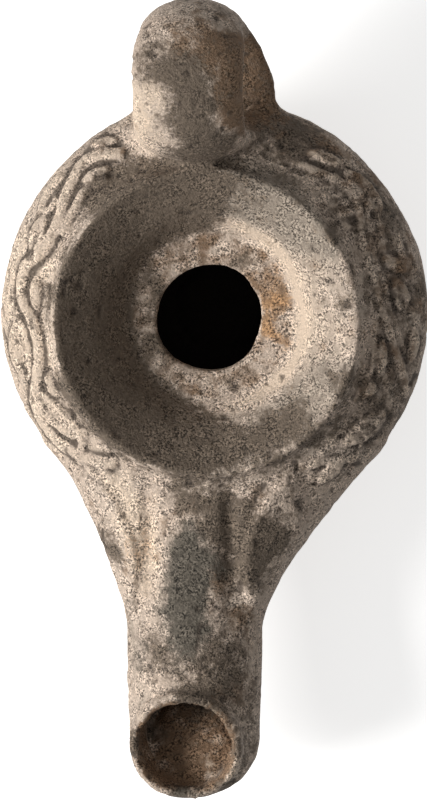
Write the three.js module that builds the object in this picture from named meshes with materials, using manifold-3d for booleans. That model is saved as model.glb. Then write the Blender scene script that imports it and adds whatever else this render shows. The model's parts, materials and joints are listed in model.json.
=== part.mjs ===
// A mould-made clay oil lamp with a ring handle, an open dish round its filling hole and a long round nozzle.
// Millimetres, +Z up. The origin is the middle of the flat underside.
// -Y points along the nozzle, +Y to the handle.
import * as THREE from "three";
import { mergeVertices } from "three/addons/utils/BufferGeometryUtils.js";
import Module from "manifold-3d";

// ---- Driving dimensions ----
const BODY_RADIUS = 28.45; // of the belly, seen from above
const BELLY_Z = 14; // height of the widest line, where the two halves of the mould met
const CROWN = 13.3; // rise of the shoulder's ellipse above the widest line, at the middle
const KEEL = 15; // drop of the underside's ellipse below it
const BASE_RADIUS = 13.8;
const BASE_GROOVE_RADIUS = 10.6;
const BASE_GROOVE = 0.5; // depth, and half the width
const WALL = 3; // of the belly
const NOZZLE_WALL = 2.3;

const RIM_RADIUS = 20.6; // middle of the rim round the dish
const RIM_Z = 25.6;
const RIM_THICK = 1.8;
const RIM_FOOT_RADIUS = 22.4; // where the rim's outer face meets the shoulder
const FLOOR_RADIUS = 11.2; // of the level ring round the filling hole
const FLOOR_Z = 17.9;
const DISH_THICK = 2.6;
const FILL_RADIUS = 7.1;

const NOZZLE_HALF = 9.05; // half the nozzle's width along its straight stretch
const NOZZLE_SHIFT = -2.6; // the nozzle stands a little to one side
const FLARE_START_Y = -17.4; // where the belly's circle passes into the flare
const FLARE_END_Y = -42.5; // where the flare ends in the straight nozzle
const FLARE_POWER = 1.45;
const TIP_RADIUS = 8.7;
const TIP_Y = -56.4; // centre of the round tip
const BAND_HALF = 5.4; // half the width of the raised band along the nozzle's top
const FURROW_DEPTH = 1; // of the soft furrows beside it
const FURROW_Y = -29; // where they are deepest

const MOUTH_RADIUS = 6.3; // of the wick hole
const MOUTH_RING = 1.2; // thickness of the ring round it
const MOUTH_X = -3.2;
const MOUTH_Y = -57.6;
const MOUTH_Z = 22;
const MOUTH_TILT = 16; // degrees that the wick hole looks forward

const HANDLE_SHIFT = -1.7;
const STRAP_HALF_WIDTH = 7.4;
const STRAP_SPREAD = 0.25; // share by which its feet are wider
const STRAP_DRAWN_IN = 0.2; // share by which the back of the loop is narrower
const FOOT_LEAN = 0.8;
const STRAP_BULGE = 3.4; // of the strap's outer face, from its middle line
const STRAP_INNER = 1.5; // of its inner face
const LOOP_RADIUS = 7.4; // of the strap's middle line
const LOOP_Y = 31.9;
const LOOP_Z = 25.3;

// The shoulder's scroll. A stem's turning places and a leaf's seat are an angle from +X, in degrees, and a
// radius; a leaf also has its lean from the rim's direction, its half length and its half breadth.
const RELIEF_HEIGHT = 0.8;
const STEM_HALF_WIDTH = 0.85;
const STEM_STEP = 6; // degrees between the stem's sections
const SCROLLS = [
  {
    stem: [[118, 24.4], [136, 26], [151, 23.2], [165, 26], [186, 23.4], [210, 26.4], [232, 23]],
    leaves: [
      [131, 23.6, 18, 2.8, 1.2],
      [147, 25.7, -12, 2.8, 1.2],
      [160, 23.5, 12, 2.4, 1],
      [176, 25.7, -6, 3.2, 1.3],
      [192, 25.8, 8, 3.8, 1.5],
      [204, 23.4, 14, 2.6, 1.1],
      [217, 24.2, -14, 3.6, 1.5],
    ],
  },
  {
    stem: [[62, 23.6], [45, 25.2], [30, 22.9], [15, 25.8], [2, 23.2], [-12, 25.4], [-24, 27.4]],
    leaves: [
      [54, 25.8, -10, 2.6, 1],
      [38, 26.8, 6, 3.4, 1],
      [40, 23.4, -14, 3, 1.2],
      [22, 25.6, 10, 2.4, 1.2],
      [14, 23.4, -8, 2.8, 1.1],
      [3, 25.8, 6, 3, 1.3],
      [-9, 23, -6, 3, 1.1],
      [-22, 24.2, 14, 3.2, 1.3],
      [-35, 25, 20, 3.4, 1.5],
    ],
  },
];
const LOBE_Y = -30; // middle of the almond lobe on each flank of the nozzle
const LOBE_OUT = 11.1; // from the nozzle's middle line
const LOBE_HALF_LENGTH = 8.4;
const LOBE_HALF_BREADTH = 2.9;
const LOBE_HEIGHT = 1.3;

// ---- Solids ----
const wasm = await Module();
wasm.setup();

function solid(geometry) {
  const bare = geometry.index ? geometry.toNonIndexed() : geometry.clone();
  bare.deleteAttribute("normal");
  bare.deleteAttribute("uv");
  const merged = mergeVertices(bare, 1e-4);
  return new wasm.Manifold(
    new wasm.Mesh({
      numProp: 3,
      vertProperties: merged.attributes.position.array,
      triVerts: new Uint32Array(merged.index.array),
    }),
  );
}

function geometryOf(manifold) {
  const mesh = manifold.getMesh();
  const geometry = new THREE.BufferGeometry();
  const positions = new THREE.BufferAttribute(mesh.vertProperties, mesh.numProp);
  geometry.setAttribute("position", positions);
  geometry.setIndex(new THREE.BufferAttribute(mesh.triVerts, 1));
  geometry.computeVertexNormals();
  return geometry;
}

// Moves every vertex of a geometry by a function of its place.
function reshape(geometry, move) {
  const positions = geometry.attributes.position;
  const point = new THREE.Vector3();
  for (let i = 0; i < positions.count; i += 1) {
    point.fromBufferAttribute(positions, i);
    move(point);
    positions.setXYZ(i, point.x, point.y, point.z);
  }
  return geometry;
}

// A solid turned about the Z axis, from an outline of [radius, height] that starts and ends on the axis.
function turned(outline, segments) {
  const points = outline.map(([radius, height]) => new THREE.Vector2(radius, height));
  return solid(new THREE.LatheGeometry(points, segments).rotateX(Math.PI / 2));
}

// A smooth height along Y through a few [y, z] points, given from the handle's side to the nozzle's.
function alongY(points) {
  const curve = new THREE.SplineCurve(points.map(([y, z]) => new THREE.Vector2(y, z)));
  const samples = curve.getPoints(240);
  return (y) => {
    const next = samples.findIndex((p) => p.x <= y);
    if (next === -1) return samples.at(-1).y;
    if (next === 0) return samples[0].y;
    const [a, b] = [samples[next - 1], samples[next]];
    return THREE.MathUtils.mapLinear(y, a.x, b.x, a.y, b.y);
  };
}

// ---- The plan and the side view ----
const circleAt = (y, radius) => Math.sqrt(Math.max(0, radius * radius - y * y));
const joinHalfWidth = circleAt(FLARE_START_Y, BODY_RADIUS);
const flareGrowth = (joinHalfWidth - NOZZLE_HALF) / (FLARE_START_Y - FLARE_END_Y) ** FLARE_POWER;
const tipEndY = TIP_Y - TIP_RADIUS;

// Half the lamp's width at its widest line.
function halfWidth(y) {
  if (y >= FLARE_START_Y) return circleAt(y, BODY_RADIUS);
  if (y >= FLARE_END_Y) return NOZZLE_HALF + flareGrowth * (y - FLARE_END_Y) ** FLARE_POWER;
  const taper = THREE.MathUtils.smoothstep(-y, -FLARE_END_Y, -TIP_Y);
  const straight = THREE.MathUtils.lerp(NOZZLE_HALF, TIP_RADIUS, taper);
  return y >= TIP_Y ? straight : circleAt(y - TIP_Y, TIP_RADIUS);
}

// The nozzle's middle line swings gently aside from the belly's.
function middleX(y) {
  return NOZZLE_SHIFT * THREE.MathUtils.smoothstep(-y, -FLARE_START_Y, -FLARE_END_Y);
}

// Heights along the middle line, past the belly's own ellipse.
const shoulderJoin = BELLY_Z + (CROWN * joinHalfWidth) / BODY_RADIUS;
const keelJoin = BELLY_Z - (KEEL * joinHalfWidth) / BODY_RADIUS;
const nozzleTop = alongY([
  [FLARE_START_Y, shoulderJoin],
  [-22, 23.5],
  [-30, 22.5],
  [FLARE_END_Y, 21.9],
  [-50, 22.3],
  [TIP_Y, 21.3],
]);
const nozzleUnder = alongY([
  [FLARE_START_Y, keelJoin],
  [-23, 3.7],
  [-32, 5.6],
  [FLARE_END_Y, 6.6],
  [TIP_Y, 7.2],
]);

// How far the skin stands above and below the widest line, over the middle line.
function riseAt(y) {
  if (y >= FLARE_START_Y) return (CROWN * circleAt(y, BODY_RADIUS)) / BODY_RADIUS;
  return (nozzleTop(Math.max(y, TIP_Y)) - BELLY_Z) * tipFade(y);
}

function dropAt(y) {
  if (y >= FLARE_START_Y) return (KEEL * circleAt(y, BODY_RADIUS)) / BODY_RADIUS;
  return (BELLY_Z - nozzleUnder(Math.max(y, TIP_Y))) * tipFade(y);
}

function tipFade(y) {
  return y >= TIP_Y ? 1 : circleAt(y - TIP_Y, TIP_RADIUS) / TIP_RADIUS;
}

// The soft furrows that part the nozzle's raised band from the lobes beside it, as a depth.
function furrow(x, y) {
  const along = Math.exp(-(((y - FURROW_Y) / 8) ** 2));
  const across = Math.exp(-(((Math.abs(x - NOZZLE_SHIFT) - BAND_HALF - 1) / 1.6) ** 2));
  return FURROW_DEPTH * along * across;
}

// The nozzle: a ball drawn out along Y, each ring an ellipse of the plan and the side view.
// Its blunt end lies inside the belly. The tunnel through it is the same ball with the walls left off.
const outerNozzle = { backY: -12, frontY: tipEndY, share: 1, furrow: 1 };
const tunnelShare = 1 - NOZZLE_WALL / NOZZLE_HALF;
const tunnel = { backY: -19.5, frontY: tipEndY + NOZZLE_WALL, share: tunnelShare, furrow: 0 };

function nozzle(form, rings, segments) {
  const geometry = new THREE.SphereGeometry(1, segments, rings);
  reshape(geometry, (p) => {
    const y = THREE.MathUtils.mapLinear(p.y, 1, -1, form.backY, form.frontY);
    const skinY = Math.min(y, FLARE_START_Y) - (form.frontY - tipEndY) * (y < TIP_Y ? 1 : 0);
    const ring = Math.hypot(p.x, p.z) || 1;
    const across = p.x / ring;
    const up = p.z / ring;
    const size = form.share * (p.y > 0 ? Math.min(1, Math.hypot(p.x, p.z) / 0.3) : 1);
    const reach = (up > 0 ? riseAt(skinY) : dropAt(skinY)) * size;
    const x = middleX(y) + across * halfWidth(skinY) * size;
    const dip = up > 0 ? form.furrow * up * furrow(x, y) : 0;
    p.set(x, y, BELLY_Z + up * reach - dip);
  });
  return solid(geometry);
}

// ---- Belly, base, rim and dish ----
// Points of the belly's outline between two radii, on the ellipse above or below the widest line.
function bellyOutline(fromRadius, toRadius, rise, wall, count) {
  const radius = BODY_RADIUS - wall;
  const from = Math.asin(fromRadius / radius);
  const to = Math.asin(toRadius / radius);
  return Array.from({ length: count + 1 }, (_, i) => {
    const angle = THREE.MathUtils.lerp(from, to, i / count);
    const height = (rise - Math.sign(rise) * wall) * Math.cos(angle);
    return [radius * Math.sin(angle), BELLY_Z + height];
  });
}

function bellyOutside() {
  const grooveIn = BASE_GROOVE_RADIUS - BASE_GROOVE;
  const grooveOut = BASE_GROOVE_RADIUS + BASE_GROOVE;
  const outline = [
    [0, 0],
    [grooveIn, 0],
    [BASE_GROOVE_RADIUS, BASE_GROOVE],
    [grooveOut, 0],
    [BASE_RADIUS - 0.6, 0],
    [BASE_RADIUS, 0.6],
    ...bellyOutline(BASE_RADIUS + 1, BODY_RADIUS, -KEEL, 0, 8),
    ...bellyOutline(BODY_RADIUS, RIM_FOOT_RADIUS, CROWN, 0, 6).slice(1),
    [RIM_RADIUS + RIM_THICK / 2 + 0.3, RIM_Z - 1.6],
    [RIM_RADIUS + RIM_THICK / 2, RIM_Z - 0.4],
    [RIM_RADIUS, RIM_Z],
    [0, RIM_Z],
  ];
  return turned(outline, 48);
}

// The dish's surface from the rim down to the hole; lowered, it is the dish's underside.
function dishOutline(lower, count) {
  const curve = new THREE.SplineCurve(
    [
      [RIM_RADIUS - RIM_THICK / 2, RIM_Z - 0.4],
      [16.9, 23.3],
      [14, 21.2],
      [12.3, 19.2],
      [FLOOR_RADIUS, FLOOR_Z + 0.3],
      [9.4, FLOOR_Z],
      [FILL_RADIUS, FLOOR_Z - 0.4],
    ].map(([radius, height]) => new THREE.Vector2(radius, height - lower)),
  );
  return curve.getPoints(count).map((p) => [p.x, p.y]);
}

// The open room above the dish, and the filling hole under it.
function dishRoom() {
  const bottom = FLOOR_Z - DISH_THICK - 3;
  const surface = dishOutline(0, 8).reverse();
  const rim = RIM_RADIUS - 0.15;
  const top = RIM_Z + 20;
  const outline = [[0, bottom], [FILL_RADIUS, bottom], ...surface, [rim, RIM_Z], [rim, top], [0, top]];
  return turned(outline, 48);
}

// The hollow of the belly: over its floor, up inside its wall and back along the dish's underside.
function bellyHollow() {
  const radius = BODY_RADIUS - WALL;
  const underDish = dishOutline(DISH_THICK, 6);
  const outline = [
    [0, WALL],
    ...bellyOutline(BASE_RADIUS - 3, radius, -KEEL, WALL, 6),
    ...bellyOutline(radius, 21.4, CROWN, WALL, 4).slice(1),
    ...underDish,
    [0, underDish.at(-1)[1]],
  ];
  return turned(outline, 32);
}

// ---- The nozzle's mouth ----
function atMouth(manifold) {
  return manifold.rotate([MOUTH_TILT, 0, 0]).translate([MOUTH_X, MOUTH_Y, MOUTH_Z]);
}

// The cup under the wick hole, with the ring round its lip. Its own heights are measured from the lip.
function mouthCup() {
  const edge = MOUTH_RADIUS + MOUTH_RING;
  const outline = [
    [0, -14],
    [4, -13],
    [6.4, -10],
    [edge, -6],
    [edge + 0.1, -1.6],
    [edge, -0.5],
    [edge - 0.5, 0],
    [0, 0],
  ];
  return atMouth(turned(outline, 24));
}

function mouthRoom() {
  const outline = [
    [0, -12.4],
    [3.4, -11.6],
    [5.5, -8.8],
    [MOUTH_RADIUS, -4],
    [MOUTH_RADIUS - 0.1, -1],
    [MOUTH_RADIUS + 0.3, 0.2],
    [MOUTH_RADIUS + 0.3, 12],
    [0, 12],
  ];
  return atMouth(turned(outline, 24));
}

// ---- The ring handle: a broad strap from the rim over to the back of the belly ----
function handle() {
  const path = new THREE.CurvePath();
  const top = new THREE.Vector3(0, LOOP_Y - LOOP_RADIUS, LOOP_Z);
  const arc = [];
  for (let degrees = 180; degrees >= -62; degrees -= 11) {
    const angle = THREE.MathUtils.degToRad(degrees);
    const y = LOOP_Y + LOOP_RADIUS * Math.cos(angle);
    const z = LOOP_Z + LOOP_RADIUS * Math.sin(angle);
    arc.push(new THREE.Vector3(0, y, z));
  }
  const foot = new THREE.Vector3(0, top.y - 0.2, BELLY_Z + 5);
  const backFoot = new THREE.Vector3(0, BODY_RADIUS - 3.4, BELLY_Z + 1);
  path.add(new THREE.CatmullRomCurve3([foot, ...arc, backFoot]));

  const section = new THREE.Shape();
  section.absellipse(0, 0, STRAP_HALF_WIDTH, STRAP_BULGE, 0, Math.PI);
  section.absellipse(0, 0, STRAP_HALF_WIDTH, STRAP_INNER, Math.PI, Math.PI * 2);
  const geometry = new THREE.ExtrudeGeometry(section, {
    steps: 20,
    curveSegments: 6,
    extrudePath: path.curves[0],
  });
  reshape(geometry, (p) => {
    const spread = strapSpread(p.y, p.z);
    const width = 1 + STRAP_SPREAD * spread - STRAP_DRAWN_IN * strapDrawnIn(p.y);
    p.x = HANDLE_SHIFT + FOOT_LEAN * spread + p.x * width;
  });
  return solid(geometry);
}

// Towards its feet the strap spreads and leans aside; round the back of its loop it draws in a little.
function strapSpread(y, z) {
  const back = THREE.MathUtils.smoothstep(y, LOOP_Y - 2, LOOP_Y + 8);
  return THREE.MathUtils.smoothstep(LOOP_Z - z, 0, 8) * (1 - back);
}

function strapDrawnIn(y) {
  return THREE.MathUtils.smoothstep(y, LOOP_Y + 4, LOOP_Y + LOOP_RADIUS + STRAP_BULGE);
}

// ---- Relief: a winding scroll on each shoulder, and a lobe on each flank of the nozzle ----
// The skin above the widest line, as a height at a place in plan.
function skinZ(x, y) {
  const across = (x - middleX(y)) / halfWidth(y);
  return BELLY_Z + riseAt(y) * Math.sqrt(Math.max(0, 1 - across * across));
}

function onSkin(x, y) {
  return new THREE.Vector3(x, y, skinZ(x, y));
}

function skinNormal(x, y) {
  const step = 0.2;
  const along = onSkin(x, y + step).sub(onSkin(x, y - step));
  const across = onSkin(x + step, y).sub(onSkin(x - step, y));
  return across.cross(along).normalize();
}

// A place in plan from an angle in degrees and a radius.
function polar(degrees, radius) {
  const angle = THREE.MathUtils.degToRad(degrees);
  return [radius * Math.cos(angle), radius * Math.sin(angle)];
}

// The stem swings in towards the rim round one leaf and out towards the belly round the next.
function stem(turningPlaces) {
  const places = turningPlaces.map(([angle, radius]) => new THREE.Vector2(angle, radius));
  const swing = new THREE.SplineCurve(places);
  const reach = Math.abs(turningPlaces.at(-1)[0] - turningPlaces[0][0]);
  const steps = Math.round(reach / STEM_STEP);
  const points = swing.getPoints(steps).map((p) => onSkin(...polar(p.x, p.y)));
  const section = new THREE.Shape();
  section.absellipse(0, 0, STEM_HALF_WIDTH, RELIEF_HEIGHT, 0, Math.PI * 2);
  const geometry = new THREE.ExtrudeGeometry(section, {
    steps: Math.round(steps * 1.5),
    curveSegments: 3,
    extrudePath: new THREE.CatmullRomCurve3(points),
  });
  return solid(geometry);
}

// A low pointed boss laid on the skin, pointing along a plan direction.
function boss(x, y, heading, halfLength, halfBreadth, height) {
  const up = skinNormal(x, y);
  const along = new THREE.Vector3(Math.cos(heading), Math.sin(heading), 0);
  along.addScaledVector(up, -along.dot(up)).normalize();
  const across = new THREE.Vector3().crossVectors(up, along);
  const geometry = new THREE.SphereGeometry(1, 8, 4);
  reshape(geometry, (p) => {
    p.x *= 1 - 0.35 * p.y * p.y;
    p.z *= 1 - 0.35 * p.y * p.y;
  });
  const frame = new THREE.Matrix4().makeBasis(
    across.multiplyScalar(-halfBreadth),
    along.multiplyScalar(halfLength),
    up.multiplyScalar(height),
  );
  geometry.applyMatrix4(frame.setPosition(onSkin(x, y)));
  return solid(geometry);
}

function leaf([degrees, radius, lean, halfLength, halfBreadth]) {
  const heading = THREE.MathUtils.degToRad(degrees + 90 + lean);
  return boss(...polar(degrees, radius), heading, halfLength, halfBreadth, RELIEF_HEIGHT * 1.3);
}

function lobe(side) {
  const x = NOZZLE_SHIFT + side * LOBE_OUT;
  return boss(x, LOBE_Y, Math.PI / 2 - side * 0.3, LOBE_HALF_LENGTH, LOBE_HALF_BREADTH, LOBE_HEIGHT);
}

// ---- The lamp ----
const clay = [
  bellyOutside(),
  nozzle(outerNozzle, 22, 28),
  mouthCup(),
  handle(),
  lobe(-1),
  lobe(1),
  ...SCROLLS.flatMap((scroll) => [stem(scroll.stem), ...scroll.leaves.map(leaf)]),
].reduce((whole, piece) => whole.add(piece));

const lampSolid = clay
  .subtract(bellyHollow())
  .subtract(nozzle(tunnel, 12, 16))
  .subtract(dishRoom())
  .subtract(mouthRoom());

const firedClay = new THREE.MeshStandardMaterial({ color: 0xb09a84, roughness: 0.92, metalness: 0 });
const lamp = new THREE.Mesh(geometryOf(lampSolid), firedClay);
lamp.name = "lamp";

const part = new THREE.Group();
part.add(lamp);
export default part;
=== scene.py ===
# %% [markdown]
# # A mould-made clay oil lamp
# The lamp is one piece of fired clay: a round hollow belly, an open dish with a filling hole, a long round
# nozzle for the wick and a ring handle. The solid model of it is loaded as a fixed frame, and everything
# here is measured from that frame. One dense mesh of the weathered clay then takes the plain solid's place.

import json
import math

import bmesh
import bpy
import numpy as np
from mathutils import Matrix, Vector
from mathutils.bvhtree import BVHTree

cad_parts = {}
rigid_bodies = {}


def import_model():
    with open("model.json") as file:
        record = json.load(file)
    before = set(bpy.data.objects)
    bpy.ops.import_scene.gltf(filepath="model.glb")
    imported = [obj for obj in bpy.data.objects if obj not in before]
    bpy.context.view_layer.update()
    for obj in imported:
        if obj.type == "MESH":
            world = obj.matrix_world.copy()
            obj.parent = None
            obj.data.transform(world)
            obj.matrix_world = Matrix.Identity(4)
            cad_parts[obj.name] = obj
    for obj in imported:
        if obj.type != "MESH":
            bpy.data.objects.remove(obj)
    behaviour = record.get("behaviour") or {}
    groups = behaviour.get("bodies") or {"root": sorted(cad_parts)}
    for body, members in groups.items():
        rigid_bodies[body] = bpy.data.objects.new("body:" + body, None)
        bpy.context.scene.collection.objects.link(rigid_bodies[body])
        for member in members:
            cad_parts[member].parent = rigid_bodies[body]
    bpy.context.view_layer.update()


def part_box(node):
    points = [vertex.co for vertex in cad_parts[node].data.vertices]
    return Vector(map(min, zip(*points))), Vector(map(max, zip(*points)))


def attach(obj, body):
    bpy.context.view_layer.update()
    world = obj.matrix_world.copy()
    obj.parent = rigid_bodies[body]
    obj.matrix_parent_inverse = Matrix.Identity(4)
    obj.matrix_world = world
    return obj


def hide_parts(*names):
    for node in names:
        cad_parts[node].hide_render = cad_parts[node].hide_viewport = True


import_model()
MM = 0.001
lamp_low, lamp_high = (np.array(corner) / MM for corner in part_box("lamp"))
print("lamp from", lamp_low.round(1), "to", lamp_high.round(1), "mm")

# %% [markdown]
# ## Camera, floor and light
# A small object is best seen from far off through a long lens, because a near one makes the handle and the
# nozzle's mouth loom. The camera looks almost straight down, leaning a little towards the handle and to one
# side, so it sees a sliver of the nozzle's flank. The light is one large soft lamp low on the left, which
# rakes across the relief, and a pale surround that fills the shadows.


# %% Put a thing in the scene and turn it towards a point
def aim(thing, target):
    direction = Vector(target) - thing.location
    thing.rotation_euler = direction.to_track_quat("-Z", "Y").to_euler()


def link(thing):
    bpy.context.scene.collection.objects.link(thing)
    return thing


# %% Camera
LEAN_SIDE = math.radians(5.5)
LEAN_HANDLE = math.radians(5.3)
CAMERA_DISTANCE = 2.4
SENSOR_HEIGHT = 24.0
VIEW_HEIGHT = 0.1066  # how much of the lamp's plane the frame holds, in metres
focus = Vector((-0.0001, -0.0117, 0.0145))

camera_data = bpy.data.cameras.new("camera")
camera_data.sensor_fit = "VERTICAL"
camera_data.sensor_height = SENSOR_HEIGHT
camera_data.lens = SENSOR_HEIGHT * CAMERA_DISTANCE / VIEW_HEIGHT
camera_data.clip_end = 20.0
camera = link(bpy.data.objects.new("camera", camera_data))
towards_camera = Vector((math.tan(LEAN_SIDE), math.tan(LEAN_HANDLE), 1.0)).normalized()
camera.location = focus + towards_camera * CAMERA_DISTANCE
view_right = Vector((0, 1, 0)).cross(towards_camera).normalized()
view_up = towards_camera.cross(view_right)
camera.rotation_euler = Matrix((view_right, view_up, towards_camera)).transposed().to_euler()
bpy.context.scene.camera = camera
print("lens", round(camera_data.lens), "mm")

# %% Key light
KEY_WIDTH = 0.5
KEY_DISTANCE = 1.2
key_data = bpy.data.lights.new("key light", "AREA")
key_data.shape = "RECTANGLE"
key_data.size = KEY_WIDTH
key_data.size_y = KEY_WIDTH
key_data.energy = 16.0
key = link(bpy.data.objects.new("key light", key_data))
key.location = Vector((-0.8, -0.15, 0.55)).normalized() * KEY_DISTANCE
aim(key, focus)
print("key light at", [round(value, 2) for value in key.location], "m,", key_data.energy, "W")

# %% Pale surround
SURROUND_STRENGTH = 0.28
world = bpy.data.worlds.new("pale surround")
bpy.context.scene.world = world
world.use_nodes = True
surround = world.node_tree.nodes["Background"].inputs
surround["Color"].default_value = (1, 1, 1, 1)
surround["Strength"].default_value = SURROUND_STRENGTH
bpy.context.scene.view_settings.view_transform = "Standard"
print("surround", SURROUND_STRENGTH, "of full white")

# %% [markdown]
# ## Shader helpers
# Colours are written as the sRGB hex values that a paint chart gives, and one function turns them to the
# linear numbers that a shader works in. Another adds a node, its settings and its links in one line.


# %% From a colour chart's value to a linear one
def linear(hex_colour):
    def channel(pair):
        value = int(pair, 16) / 255
        return value / 12.92 if value <= 0.04045 else ((value + 0.055) / 1.055) ** 2.4

    return tuple(channel(hex_colour[i : i + 2]) for i in (1, 3, 5)) + (1.0,)


print("middle grey is", round(linear("#808080")[0], 3), "in linear light")


# %% Add a node, with its settings and its links
def add_node(tree, kind, inputs=None, **settings):
    node = tree.nodes.new(kind)
    for name, value in settings.items():
        setattr(node, name, value)
    for name, value in (inputs or {}).items():
        if isinstance(value, bpy.types.NodeSocket):
            tree.links.new(value, node.inputs[name])
        else:
            node.inputs[name].default_value = value
    return node


print("a node's inputs are given by name, or by number where two share a name")

# %% [markdown]
# ## The floor
# The lamp stands on a sweep of white paper. Light from the whole studio reaches such a sheet, but here only
# one lamp and a surround do, so the paper also glows a little to stay as pale as it would be. It is left
# out of the light that bounces, because a glowing sheet would light the lamp's underside more than real
# paper does.

# %% White paper
FLOOR_HALF = 1.5
FLOOR_GLOW = 0.62
floor_data = bpy.data.meshes.new("floor")
corners = [(-1, -1), (1, -1), (1, 1), (-1, 1)]
floor_data.from_pydata([(x * FLOOR_HALF, y * FLOOR_HALF, 0) for x, y in corners], [], [(0, 1, 2, 3)])
floor = link(bpy.data.objects.new("floor", floor_data))
floor_paint = bpy.data.materials.new("white_paper_sweep")
floor_paint.use_nodes = True
floor_shader = floor_paint.node_tree.nodes["Principled BSDF"]
floor_shader.inputs["Base Color"].default_value = linear("#f4f3f1")
floor_shader.inputs["Roughness"].default_value = 0.9
floor_shader.inputs["Emission Color"].default_value = (1, 1, 1, 1)
floor_shader.inputs["Emission Strength"].default_value = FLOOR_GLOW
floor_data.materials.append(floor_paint)
floor.visible_diffuse = False
print("floor", 2 * FLOOR_HALF, "m wide")

# %% [markdown]
# ## The clay as a field
# Clay has no seams: the nozzle swells out of the belly and the handle's feet are smeared onto it. Meshes
# joined edge to edge show a hard line there. So the form is first described as a field, a function that
# gives, for any point in space, how far it lies outside the clay, and a soft minimum of two fields joins
# them with a fillet. A surface is drawn through the field's zero afterwards. All sizes in this part are
# millimetres.


# %% A soft step, a soft join and a soft cut
def smoothstep(low, high, value):
    share = np.clip((value - low) / (high - low), 0, 1)
    return share * share * (3 - 2 * share)


def soft_join(a, b, fillet):
    blend = np.clip(0.5 + 0.5 * (b - a) / fillet, 0, 1)
    return b + (a - b) * blend - fillet * blend * (1 - blend)


def soft_cut(a, b, fillet):
    return -soft_join(-a, b, fillet)


print("where two skins cross, a fillet of 2 mm adds", -soft_join(np.zeros(1), np.zeros(1), 2.0)[0], "mm")


# %% A smooth curve through a few points
def spline(points, per_span):
    points = np.array(points, float)
    padded = np.vstack([2 * points[0] - points[1], points, 2 * points[-1] - points[-2]])
    share = np.linspace(0, 1, per_span, endpoint=False)[:, None]
    spans = []
    for i in range(len(points) - 1):
        before, start, end, after = padded[i : i + 4]
        spans.append(
            0.5
            * (
                2 * start
                + (end - before) * share
                + (2 * before - 5 * start + 4 * end - after) * share**2
                + (3 * start - before - 3 * end + after) * share**3
            )
        )
    return np.vstack(spans + [points[-1:]])


print("3 points, 4 steps a span:", len(spline([(0, 0), (1, 1), (2, 0)], 4)), "points")


# %% A chart: a field in two dimensions, kept on a grid and looked up at any point
class Chart:
    """Values on a flat grid, read between its points."""

    PITCH = 0.12

    def __init__(self, low, high, measure):
        self.low = np.array(low, float)
        count = np.ceil((np.array(high) - self.low) / self.PITCH).astype(int) + 1
        u, v = (low_ + np.arange(n) * self.PITCH for low_, n in zip(self.low, count))
        flat_u, flat_v = (g.ravel() for g in np.meshgrid(u, v, indexing="ij"))
        self.values = measure(flat_u, flat_v).reshape(count)

    def __call__(self, u, v):
        i = np.clip((u - self.low[0]) / self.PITCH, 0, self.values.shape[0] - 1.001)
        j = np.clip((v - self.low[1]) / self.PITCH, 0, self.values.shape[1] - 1.001)
        i0, j0 = i.astype(int), j.astype(int)
        a, b = i - i0, j - j0
        grid = self.values
        near = grid[i0, j0] * (1 - a) + grid[i0 + 1, j0] * a
        far = grid[i0, j0 + 1] * (1 - a) + grid[i0 + 1, j0 + 1] * a
        return near * (1 - b) + far * b


print("charts are read every", Chart.PITCH, "mm")


# %% How far a point is from a path
def nearest_on_path(u, v, path):
    """For each point, the distance to an open path, the side it lies on and the share of the way along it."""
    best = np.full(u.shape, np.inf)
    side = np.zeros(u.shape)
    along = np.zeros(u.shape)
    for i, (start, end) in enumerate(zip(path[:-1], path[1:])):
        step = end - start
        length = math.hypot(*step)
        if length < 1e-9:
            continue
        share = np.clip(((u - start[0]) * step[0] + (v - start[1]) * step[1]) / length**2, 0, 1)
        off_u, off_v = u - start[0] - share * step[0], v - start[1] - share * step[1]
        distance = np.hypot(off_u, off_v)
        closer = distance < best
        best = np.where(closer, distance, best)
        side = np.where(closer, (off_v * step[0] - off_u * step[1]) / length, side)
        along = np.where(closer, (i + share) / (len(path) - 1), along)
    return best, side, along


# %% Which points lie inside an outline
def inside_outline(u, v, outline):
    inside = np.zeros(u.shape, bool)
    for (u0, v0), (u1, v1) in zip(outline, np.roll(outline, -1, axis=0)):
        if v0 == v1:
            continue
        crosses = (v0 > v) != (v1 > v)
        inside ^= crosses & (u < (u1 - u0) * (v - v0) / (v1 - v0) + u0)
    return inside


# %% The field of a shape turned on a wheel
def turned_chart(outline, low=(-1, -4), high=(33, 42)):
    """The field of a turned shape, from its outline of (radius, height)."""
    outline = np.array(outline, float)

    def measure(radius, height):
        skin = outline[(outline[:, 0] > 0) | (np.roll(outline[:, 0], 1) > 0)]
        distance, _, _ = nearest_on_path(radius, height, skin)
        return np.where(inside_outline(radius, height, outline), -distance, distance)

    return Chart(low, high, measure)


rod = turned_chart([(0, 0), (5, 0), (5, 9), (0, 9)])
print("a point 3 mm off a rod of 5 mm radius:", rod(np.array([8.0]), np.array([4.0])).round(2)[0])

# %% Sizes read from the frame
BODY_RADIUS = (lamp_high[0] - lamp_low[0]) / 2
TIP_END_Y = lamp_low[1]
HANDLE_BACK_Y = lamp_high[1]
HANDLE_TOP_Z = lamp_high[2]
print("belly radius", round(BODY_RADIUS, 2), "mm")

# %% Sizes of the belly, the dish and the base
BELLY_Z = 14.0
CROWN = 13.3
KEEL = 15.0
BASE_RADIUS = 13.8
WALL = 3.0
RIM_RADIUS = 20.0
RIM_Z = 25.6
RIM_THICK = 1.2
RIM_FOOT_RADIUS = 22.0
FLOOR_RADIUS = 11.2
FLOOR_Z = 17.9
DISH_THICK = 2.6
FILL_RADIUS = 7.1
print("rim", 2 * RIM_RADIUS, "mm wide, filling hole", 2 * FILL_RADIUS, "mm wide")


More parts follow.
